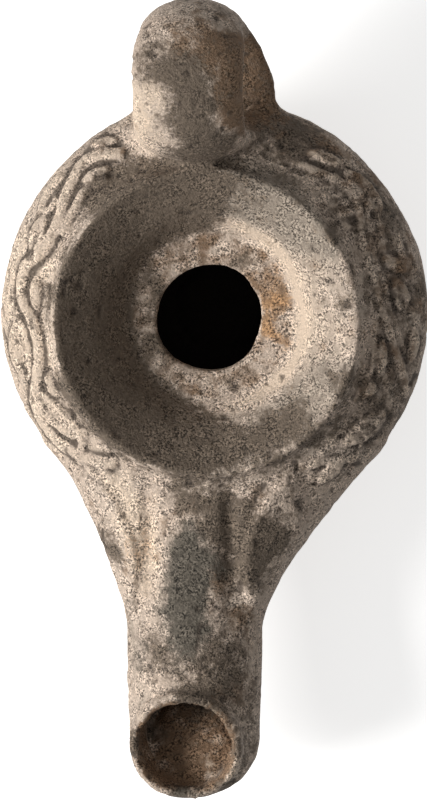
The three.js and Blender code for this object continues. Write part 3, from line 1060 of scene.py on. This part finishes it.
print("coarse edges:", round(float((wanted_edge(vertices) == HIDDEN_EDGE).mean()), 2), "of the skin")

# %% Halve twice and settle
for _ in range(2):
    vertices, triangles = refine(vertices, triangles, wanted_edge)
vertices = settle(vertices)
print(len(vertices), "vertices,", len(triangles), "triangles")

# %% [markdown]
# ## Lumps, wear and pits
# The skin of a hand-pressed and long-buried lamp is never smooth. Low lumps a few millimetres wide are left
# by the presser's fingers, small ones by the plaster of the mould, and pits by grit that fell out. Each is
# a noise: a random value at every corner of a cubic lattice, blended between them. The lattice's cell is
# the lump's width.


# %% Lattice noise
def corner_value(cell, seed):
    mixed = cell[:, 0] * 374761393 + cell[:, 1] * 668265263 + cell[:, 2] * 2147483647 + seed * 974634777
    mixed = (mixed ^ (mixed >> 13)) * 1274126177
    mixed = mixed ^ (mixed >> 16)
    return (mixed & 0xFFFF) / 32767.5 - 1


def lumps(points, width, seed):
    place = points / width + seed * 17.3
    cell = np.floor(place).astype(np.int64)
    share = place - cell
    share = share * share * (3 - 2 * share)
    total = 0
    for corner in range(8):
        step = np.array([corner >> 2 & 1, corner >> 1 & 1, corner & 1])
        weight = np.where(step, share, 1 - share).prod(1)
        total = total + weight * corner_value(cell + step, seed)
    return total


def ragged(points, width, seed, layers=3):
    return sum(lumps(points, width / 2**i, seed + i) / 2**i for i in range(layers))


print("lumps from", lumps(vertices, 9.0, 11).min().round(2), "to", lumps(vertices, 9.0, 11).max().round(2))

# %% Which part each point lies on
part = clay_parts(vertices)
normals = field_slope(vertices)
normals /= np.linalg.norm(normals, axis=1, keepdims=True)
x, y, z = vertices.T
radius = np.hypot(x, y)
degrees = np.degrees(np.arctan2(y, x))
strip_degrees = np.where(degrees < -90, degrees + 360, degrees)
depth = -np.minimum.reduce([part[name] for name in ("belly", "nozzle", "cup", "handle")])
open_skin = np.minimum(part["dish"], part["wick hole"])
inside = smoothstep(0.8, 1.4, depth) * smoothstep(0.1, 0.5, open_skin) * smoothstep(-50, -44, y)
in_dish = smoothstep(0.5, 0.1, part["dish"])
in_mouth = smoothstep(0.5, 0.1, part["wick hole"])
on_handle = smoothstep(0.8, 0.1, part["handle"])
on_nozzle = smoothstep(0.8, 0.1, part["nozzle"]) * (1 - in_mouth)
on_shoulder = (
    smoothstep(21.3, 22.2, radius)
    * smoothstep(15, 17, z)
    * smoothstep(0.2, 1.4, part["handle"])
    * smoothstep(-0.6, 0.4, part["nozzle"])
    * (1 - inside)
)
print("shoulder:", int((on_shoulder > 0.5).sum()), "vertices, inside:", int((inside > 0.5).sum()))

# %% The scroll and its wear
scroll = scroll_height(np.radians(strip_degrees) * STRIP_RADIUS, radius) * on_shoulder
wear = 0.8 + 0.25 * lumps(vertices, 5.0, 3)
veins = smoothstep(0.86, 1.0, 1 - np.abs(ragged(vertices, 2.6, 61, 2))) * on_shoulder
chipped = smoothstep(0.25, 0.75, lumps(vertices, 1.3, 72)) * on_shoulder
height = scroll * wear * (1 - 0.45 * chipped) + 0.2 * veins
print("scroll stands", height.max().round(2), "mm proud")

# %% Lumps and pits: height, width and seed of each layer
LUMP_LAYERS = ((0.16, 9.0, 11), (0.1, 3.6, 12), (0.07, 1.7, 13), (0.05, 0.8, 14))
PIT_DEPTH = 0.16
FLAT_FOOT = 1.2  # below this the skin gets flatter, so that the lamp stands square
for rise, width, seed in LUMP_LAYERS:
    height += rise * lumps(vertices, width, seed)
pit = smoothstep(0.52, 0.8, lumps(vertices, 1.1, 21)) * (1 - inside)
height -= PIT_DEPTH * pit
height *= np.clip(z / FLAT_FOOT, 0, 1)
vertices = vertices + normals * height[:, None]
vertices[:, 2] = np.maximum(vertices[:, 2], 0)
print("skin moved by", height.min().round(2), "to", height.max().round(2), "mm")

# %% [markdown]
# ## Where the colours lie
# Fired buff clay, dark patina from the burial, grey soot from the flame and orange grit each keep to their
# own places, and so do painted light and shade: pale on the sides that face the key light, and darker
# patina and brown on the sides turned from it and on the dish's left wall. A place is a middle in plan, a
# radius and a strength, and each kind of stain is the sum of its places, kept on the mesh as one number
# for each vertex. The material breaks their edges up later.

# %% Patina, with painted shade on the dish's left wall and the right shoulder, in plan: x, y, radius and strength of each place
patina_and_shade_places = {
    "handle crest": "-2.6 32.4 3 .45, 0 28.4 2.4 .6, -0.6 25 2.2 .6, 0.4 23 1.6 .9, -5.6 33.4 2.4 .3",
    "handle foot": "-4.5 18.8 2.4 .5, -0.5 19.2 2.4 .3, -1.4 20.6 1.4 .6",
    "dish towards the handle": "-12.6 15.6 3.4 .7, -8 16.4 3 .4, -2.6 16.4 3 .2, 4 16 2.6 .2, 8 14.4 2.6 .2",
    # the dish's left wall: painted shadow of the rim, laid on as patina
    "dish left": "-17.6 6 3 .7, -18 -1.5 3.6 .7, -14.8 2 2.8 .5, -16.6 -9 3.4 .6",
    "dish towards the nozzle": "-13.6 -12.4 3.2 .7, -8.6 -14.6 3.2 .7, -2.6 -16.4 3.4 .7, 3 -17 3.2 .6, "
                               "9 -16 3 .5, 13.4 -14 2.4 .5",
    "hole's edge": "-7.6 2.6 1.5 .6, -7 -4 1.4 .4, 4.4 6.9 1.4 .5, 3 -9 2.6 .3",
    "rim": "15.6 11.4 1.4 .6, 18.4 3 1.5 .5, 17.8 -8 1.8 .5",
    # the right shoulder, turned from the key light: patina with painted shade
    "right shoulder": "23 12 4 .35, 25.5 0 4 .3, 22 -14 4 .35, 12 24 4 .4",
    "nozzle's furrow": "3 -24.5 1.8 .6, 5.4 -29 2.4 .7, 4.6 -34.5 2 .5",
    "nozzle's lobes": "-14 -30 2.4 .45, 8.6 -30 2.6 .35",
    "mouth": "-9.8 -56 1.4 .5, -3.2 -64.8 2 .5, 2.6 -62.6 1.8 .6, 4 -58 1.4 .4",
    "nozzle": "-1 -44 3 .35, 1.4 -49 3 .35, -3.4 -51.6 2 .4, -6.6 -46 2 .3, 3.4 -54 2.4 .2, 0.4 -28 2 .3, "
              "-3 -24 2 .25, 1 -34 1.8 .3",
}
print(len(patina_and_shade_places), "areas of patina")

# %% Soot, and pale clay where the skin is cleanest, with painted light on the sides that face the key light
soot_places = {
    "nozzle's band": "-3 -27.4 1.8 .5, -3.4 -30.2 2.2 .7, -1 -32.8 2.2 .75, -3.6 -35 2.2 .55, "
                     "-1.6 -37 2.2 .8, -4.6 -38.6 2.2 .7, -1 -41.6 2.2 .7, -4 -43 2 .5, -4 -47 2.6 .3",
    "nozzle's left flank": "-10.6 -40 1.6 .5, -10.6 -46 2 .5, -10 -52 1.8 .35",
    "mouth's ring": "-3.2 -64.8 2.4 .6, 3.4 -61 1.8 .5",
}
pale_and_lit_places = {
    # each pale place lies on a side that faces the key light: pale clay with painted light
    "left shoulder": "-25 6 5 .7, -25 -4 5 .7, -21 -15 5 .6, -20 17 4 .5",
    "dish right": "13.6 6 3.2 .5, 14.4 -1 3.2 .6, 12.4 -8 3 .4, 8.6 9.4 2.4 .4, 4.6 12 2 .4",
    "handle's left": "-8.6 27.4 2.4 .9, -8 31 2 .6, -7.6 23.6 2 .6",
    "nozzle's left": "-11.6 -22.4 2 .6, -10.6 -26 2.2 .8, -9.6 -29.4 2 .9, -8.9 -33 2 .9, -8.6 -37 1.8 .6",
    "mouth's inside": "1.6 -59 2 .8, -1 -61.5 2 .6",
}
print(len(soot_places), "areas of soot,", len(pale_and_lit_places), "pale ones")

# %% Brown earth with painted shade on the sides turned from the key light, grey ash and orange ochre
brown_and_shade_places = {
    # brown earth, with painted shade on the handle's right and the right shoulder, which face away from the
    # key light
    "handle": "-1.5 37 3.6 .9, 4 33 2.8 .8, 4.6 28 2.4 .8, 5.6 36 3 .8, 8 30 3 .9, 9.6 25 3 .7",
    "nozzle": "-1 -46 3 .5, 1.6 -51 3 .6, -4 -51.4 2 .4, 3.4 -40 3 .5, 6 -25 3 .4, 0.6 -27 2.2 .6, "
              "-6 -27 2 .4, -2 -23 2.4 .5, 1.4 -35 2 .5",
    "right shoulder": "22 17 5 .5, 26 4 5 .5, 24 -8 5 .4, 15 23 4 .5",
}
ash_places = {
    "dish towards the handle": "5 17.6 3 1, 9.4 15.4 2.8 1, 13 12.6 2.6 .8, 15.6 9 2.2 .5, -1 17.4 3 .9, "
                               "-6 16.6 2.6 .5",
    "dish towards the nozzle": "12 -13.6 3 .5, 6.6 -16.4 3 .4, 16.4 -8 2.6 .4",
    "nozzle": "-11 -44 2.4 .5, -9.6 -50 2.4 .4, -1.4 -24.6 2.4 .3",
}
ochre_places = {
    "right of the hole": "8.2 1.6 1.7 1, 8 -2.6 1.6 1, 8 5 1.2 .5",
    "handle's left": "-8.4 26 2 .2",
    "nozzle's left": "-10 -31 2.2 .4",
    "mouth's inside": "-3 -55 2.4 .5, -3 -60 3 .4",
}
print(len(brown_and_shade_places), "brown areas,", len(ash_places), "of ash,", len(ochre_places), "of ochre")

# %% One stain from its places, shifted about so that no outline stays round
STAIN_DRIFT = 1.5
STAIN_FALL = 0.7


def stain(places, points):
    points = points[:, :2] + np.stack([STAIN_DRIFT * ragged(points, 4.0, seed, 2) for seed in (41, 47)], 1)
    total = np.zeros(len(points))
    for place in ", ".join(places.values()).split(", "):
        x0, y0, reach, strength = (float(number) for number in place.split())
        away = ((points[:, 0] - x0) ** 2 + (points[:, 1] - y0) ** 2) / reach**2
        total += strength * np.exp(-STAIN_FALL * away)
    return total


print("deepest soot", stain(soot_places, vertices).max().round(2))

# %% Worn crests of the scroll, and its recesses, which take dirt and painted shade
def scroll_at(values):
    scroll_height.values = values
    return scroll_height(np.radians(strip_degrees) * STRIP_RADIUS, radius) * on_shoulder


level = scroll_at(softened(sharp, 5))
crest = np.clip((scroll - level) * 3.5, 0, 1)
# recesses and pits: dirt, and painted shade where the scroll lies low
recess_dirt_and_shade = np.clip((level - scroll) * 3.2, 0, 1) * (1 - 0.35 * lumps(vertices, 1.1, 71)) + 0.45 * pit
crest = np.maximum(crest, 0.8 * veins)
print("worn crests:", int((crest > 0.5).sum()), "vertices")

# %% Bands round the dish, and the sides of the lamp
looks_up = smoothstep(-0.3, 0.4, normals[:, 2])
right = smoothstep(-0.4, 0.8, np.cos(np.radians(degrees)))
wall_foot = np.exp(-(((radius - 12.4 - 0.5 * lumps(vertices, 4.0, 51)) / 0.95) ** 2)) * in_dish
outer_dish = smoothstep(12.6, 14.2, radius) * in_dish
# the dish's left side, where the rim's shadow falls; the patina below paints it darker as shade
left = smoothstep(0.35, -0.5, np.cos(np.radians(degrees + 12)))
in_ring = in_dish * smoothstep(11.6, 10.6, radius)
print("dish wall's foot:", int((wall_foot > 0.5).sum()), "vertices")

# %% Amounts of each stain
# pale clay and painted light on the sides facing the key light; the band at the foot of the dish's wall is
# painted lighter on its lit right side
pale_and_lit = stain(pale_and_lit_places, vertices) * looks_up + wall_foot * (0.9 * right - 0.1)
patina_and_shade = 0.3 + 0.14 * ragged(vertices, 6.0, 31, 2) + stain(patina_and_shade_places, vertices) * looks_up * (1 - inside)
# painted shade: the dish's left wall darker, where the rim's shadow falls, and its lit right side a little
# lighter
patina_and_shade += 0.6 * left * in_dish * smoothstep(10, 13, radius) + 0.08 * left * in_dish
patina_and_shade += (1 - looks_up) * 0.25 * lumps(vertices, 5.0, 33) - 0.12 * in_dish * (1 - left)
grit = 1 + 0.3 * lumps(vertices, 4.0, 52) + 0.5 * in_ring + 0.2 * on_nozzle - 0.8 * wall_foot * right
grit -= 0.4 * on_handle + 0.4 * left * in_dish + 0.5 * crest
stains = {
    "patina_and_shade": patina_and_shade - 0.45 * pale_and_lit - 0.25 * crest,
    "soot": stain(soot_places, vertices) * looks_up * (1 - inside),
    "ash": stain(ash_places, vertices) * looks_up + 0.35 * outer_dish,
    "pale_and_lit": pale_and_lit,
    "ochre": stain(ochre_places, vertices) * looks_up * (1 - 0.8 * wall_foot),
    "grit": np.clip(grit, 0.05, 1),
    "brown_and_shade": stain(brown_and_shade_places, vertices) * looks_up + 0.45 * in_ring + 0.8 * in_mouth,
    "inside": inside,
    "recess_dirt_and_shade": recess_dirt_and_shade,
    "crest": crest,
}
print(len(stains), "amounts for each vertex")

# %% Mesh object
lamp_mesh = bpy.data.meshes.new("weathered_lamp")
lamp_mesh.from_pydata((vertices * MM).tolist(), [], triangles.tolist())
lamp = link(bpy.data.objects.new("weathered_lamp", lamp_mesh))
lamp_mesh.polygons.foreach_set("use_smooth", [True] * len(lamp_mesh.polygons))
for name, values in stains.items():
    values = np.clip(values, -1, 1).astype(np.float32)
    lamp_mesh.attributes.new(name, "FLOAT", "POINT").data.foreach_set("value", values)
    print(name, "from", round(float(values.min()), 2), "to", round(float(values.max()), 2))

# %% [markdown]
# ## Fired clay, worn and stained
# Common buff clay, pressed in a plaster mould, dipped in a thin slip and fired once: a dull, dry, slightly
# sandy skin with no gloss, so the roughness is near one. Burial has left dark mineral patina in ragged
# islands, and the flame grey soot on the nozzle. Some of the colour is painted light and shade as well:
# pale clay painted on the sides that face the key light, darker patina and brown painted on the sides
# turned from it and on the dish's left wall, painted shade with the dirt in the scroll's recesses, and
# near-black painted shade inside. Each stain's amount from the mesh is compared with a noise, so it ends
# in crumbs and islands instead of a soft edge. Real grit here is about 0.15 mm, too fine to show, so it is
# drawn 0.3 mm wide.

# %% Where a point is, in millimetres, and how much of each stain it has
PER_METRE = 1000.0
clay.use_nodes = True
tree = clay.node_tree
shader = tree.nodes["Principled BSDF"]
place = add_node(tree, "ShaderNodeTexCoord").outputs["Object"]
millimetres = add_node(
    tree, "ShaderNodeMapping", {"Vector": place, "Scale": (PER_METRE, PER_METRE, PER_METRE)}
).outputs["Vector"]
amount = {name: add_node(tree, "ShaderNodeAttribute", attribute_name=name).outputs["Fac"] for name in stains}
print(", ".join(amount))

# %% Grains of the skin: the width in millimetres, the layers and their roughness
GRAINS = {
    "broad": (5.0, 4.0, 0.6),
    "cloudy": (3.0, 4.0, 0.65),
    "patchy": (1.6, 3.0, 0.6),
    "ragged": (1.5, 6.0, 0.75),
    "fine": (0.55, 3.0, 0.7),
    "grit": (0.3, 2.0, 0.8),
}
grain = {}
for name, (width, layers, roughness) in GRAINS.items():
    inputs = {"Vector": millimetres, "Scale": 1 / width, "Detail": layers, "Roughness": roughness}
    grain[name] = add_node(tree, "ShaderNodeTexNoise", inputs).outputs["Fac"]
print(len(grain), "grains")

# %% Crumbs: ragged, fine and gritty at once, for the edges of most stains
CRUMB_LEVEL = 0.476  # brings their sum back to a middle of one half
crumbs = grain["ragged"]
for name, share in (("fine", 0.6), ("grit", 0.5)):
    crumbs = add_node(
        tree, "ShaderNodeMath", {0: grain[name], 1: share, 2: crumbs}, operation="MULTIPLY_ADD"
    ).outputs[0]
level_crumbs = add_node(tree, "ShaderNodeMath", {0: crumbs, 1: CRUMB_LEVEL}, operation="MULTIPLY")
grain["crumbs"] = level_crumbs.outputs[0]
print(len(tree.nodes), "nodes")

# %% Lay a stain over what is under it, in islands
ISLAND_SHARE = 0.4  # how far a stain's amount lifts the grain
ISLAND_LEVEL = 0.7  # where the lifted grain turns to stain


def lay_stain(under, name, edge, softness, dark, light):
    """The colour of a stain, wandering from dark to light, where its amount and the edge's grain are high."""
    lifted = add_node(
        tree, "ShaderNodeMath", {0: amount[name], 1: ISLAND_SHARE, 2: grain[edge]}, operation="MULTIPLY_ADD"
    )
    limits = {"From Min": ISLAND_LEVEL - softness, "From Max": ISLAND_LEVEL + softness}
    islands = add_node(
        tree, "ShaderNodeMapRange", {"Value": lifted.outputs[0], **limits}, interpolation_type="SMOOTHSTEP"
    )
    colour = add_node(
        tree, "ShaderNodeMix", {0: grain["fine"], 6: linear(dark), 7: linear(light)}, data_type="RGBA"
    )
    laid = {0: islands.outputs["Result"], 6: under, 7: colour.outputs[2]}
    return add_node(tree, "ShaderNodeMix", laid, data_type="RGBA").outputs[2]


print("a stain of 1 covers where its grain is over", ISLAND_LEVEL - ISLAND_SHARE)

# %% Bare clay, with what lies thinly on it
bare = {0: grain["broad"], 6: linear("#b5a08f"), 7: linear("#d6c5b4")}
buff = add_node(tree, "ShaderNodeMix", bare, data_type="RGBA").outputs[2]
# pale clay, with painted light on the sides that face the key light
buff = lay_stain(buff, "pale_and_lit", "fine", 0.2, "#d9c4ae", "#d9c4ae")
buff = lay_stain(buff, "ochre", "crumbs", 0.15, "#8f6a49", "#c9a27b")
buff = lay_stain(buff, "ash", "crumbs", 0.14, "#766a5e", "#b9ab9b")
print(len(tree.nodes), "nodes")

# %% Crests rubbed pale
rubbed = add_node(
    tree,
    "ShaderNodeMapRange",
    {"Value": amount["crest"], "From Min": 0.1, "From Max": 0.9, "To Max": 0.6},
    interpolation_type="SMOOTHSTEP",
)
crests = {0: rubbed.outputs["Result"], 6: buff, 7: linear("#d6c2ad")}
buff = add_node(tree, "ShaderNodeMix", crests, data_type="RGBA").outputs[2]
print(len(tree.nodes), "nodes")

# %% Brown earth and patina, both with painted shade, and soot
# brown: earth, and painted shade on the sides turned from the key light
stained = lay_stain(buff, "brown_and_shade", "cloudy", 0.12, "#755d49", "#9d8269")
# the patina's colour, also laid as painted shade on the dish's left wall and the right shoulder
stained = lay_stain(stained, "patina_and_shade", "crumbs", 0.07, "#433b35", "#8d7d6c")
stained = lay_stain(stained, "soot", "crumbs", 0.09, "#37322d", "#82796c")
print(len(tree.nodes), "nodes")

# %% Dirt and painted shade in the recesses
caught = add_node(
    tree,
    "ShaderNodeMapRange",
    {"Value": amount["recess_dirt_and_shade"], "From Min": 0.05, "From Max": 0.6, "To Max": 0.85},
    interpolation_type="SMOOTHSTEP",
)
# 4a4038 is dirt and painted shade, in the scroll's recesses and pits
dirty = {0: caught.outputs["Result"], 6: stained, 7: linear("#4a4038")}
stained = add_node(tree, "ShaderNodeMix", dirty, data_type="RGBA").outputs[2]
print(len(tree.nodes), "nodes")

# %% Grit: dark and light grains, in patches, that darken or lighten the colour under them
patches = add_node(
    tree,
    "ShaderNodeMapRange",
    {"Value": grain["patchy"], "From Min": 0.38, "From Max": 0.6, "To Min": 0.2, "To Max": 1.4},
    interpolation_type="SMOOTHSTEP",
)
strewn = add_node(
    tree, "ShaderNodeMath", {0: patches.outputs["Result"], 1: amount["grit"]}, operation="MULTIPLY"
)
grains = add_node(
    tree,
    "ShaderNodeMapRange",
    {"Value": grain["grit"], "From Min": 0.38, "From Max": 0.62, "To Min": 0.2, "To Max": 1.75},
    interpolation_type="SMOOTHSTEP",
)
gritty = {0: strewn.outputs[0], 6: (1.0, 1.0, 1.0, 1.0), 7: grains.outputs["Result"]}
grit_colour = add_node(tree, "ShaderNodeMix", gritty, data_type="RGBA").outputs[2]
grained = {0: 1.0, 6: stained, 7: grit_colour}
grained_colour = add_node(tree, "ShaderNodeMix", grained, data_type="RGBA", blend_type="MULTIPLY").outputs[2]
print(len(tree.nodes), "nodes")

# %% The inside painted near-black, soot with painted shade, and the dull skin
# 1a140f over the hollow inside: soot, and painted shade of the closed belly and nozzle
within = {0: amount["inside"], 6: grained_colour, 7: linear("#1a140f")}
final_colour = add_node(tree, "ShaderNodeMix", within, data_type="RGBA").outputs[2]
tree.links.new(final_colour, shader.inputs["Base Color"])
shader.inputs["Roughness"].default_value = 0.92
shader.inputs["Specular IOR Level"].default_value = 0.3
print("roughness", shader.inputs["Roughness"].default_value)

# %% Relief too fine for the mesh
BUMP_DEPTH = 0.0003
GRIT_SHARE = 0.5
rough = add_node(
    tree, "ShaderNodeMath", {0: grain["grit"], 1: GRIT_SHARE, 2: grain["fine"]}, operation="MULTIPLY_ADD"
)
bump = add_node(tree, "ShaderNodeBump", {"Height": rough.outputs[0], "Strength": 1.0, "Distance": BUMP_DEPTH})
tree.links.new(bump.outputs["Normal"], shader.inputs["Normal"])
lamp_mesh.materials.append(clay)
print(len(tree.nodes), "nodes of fired clay")

# %% The weathered lamp takes the place of the plain one
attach(lamp, "root")
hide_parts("lamp")
print("the plain solid is replaced")
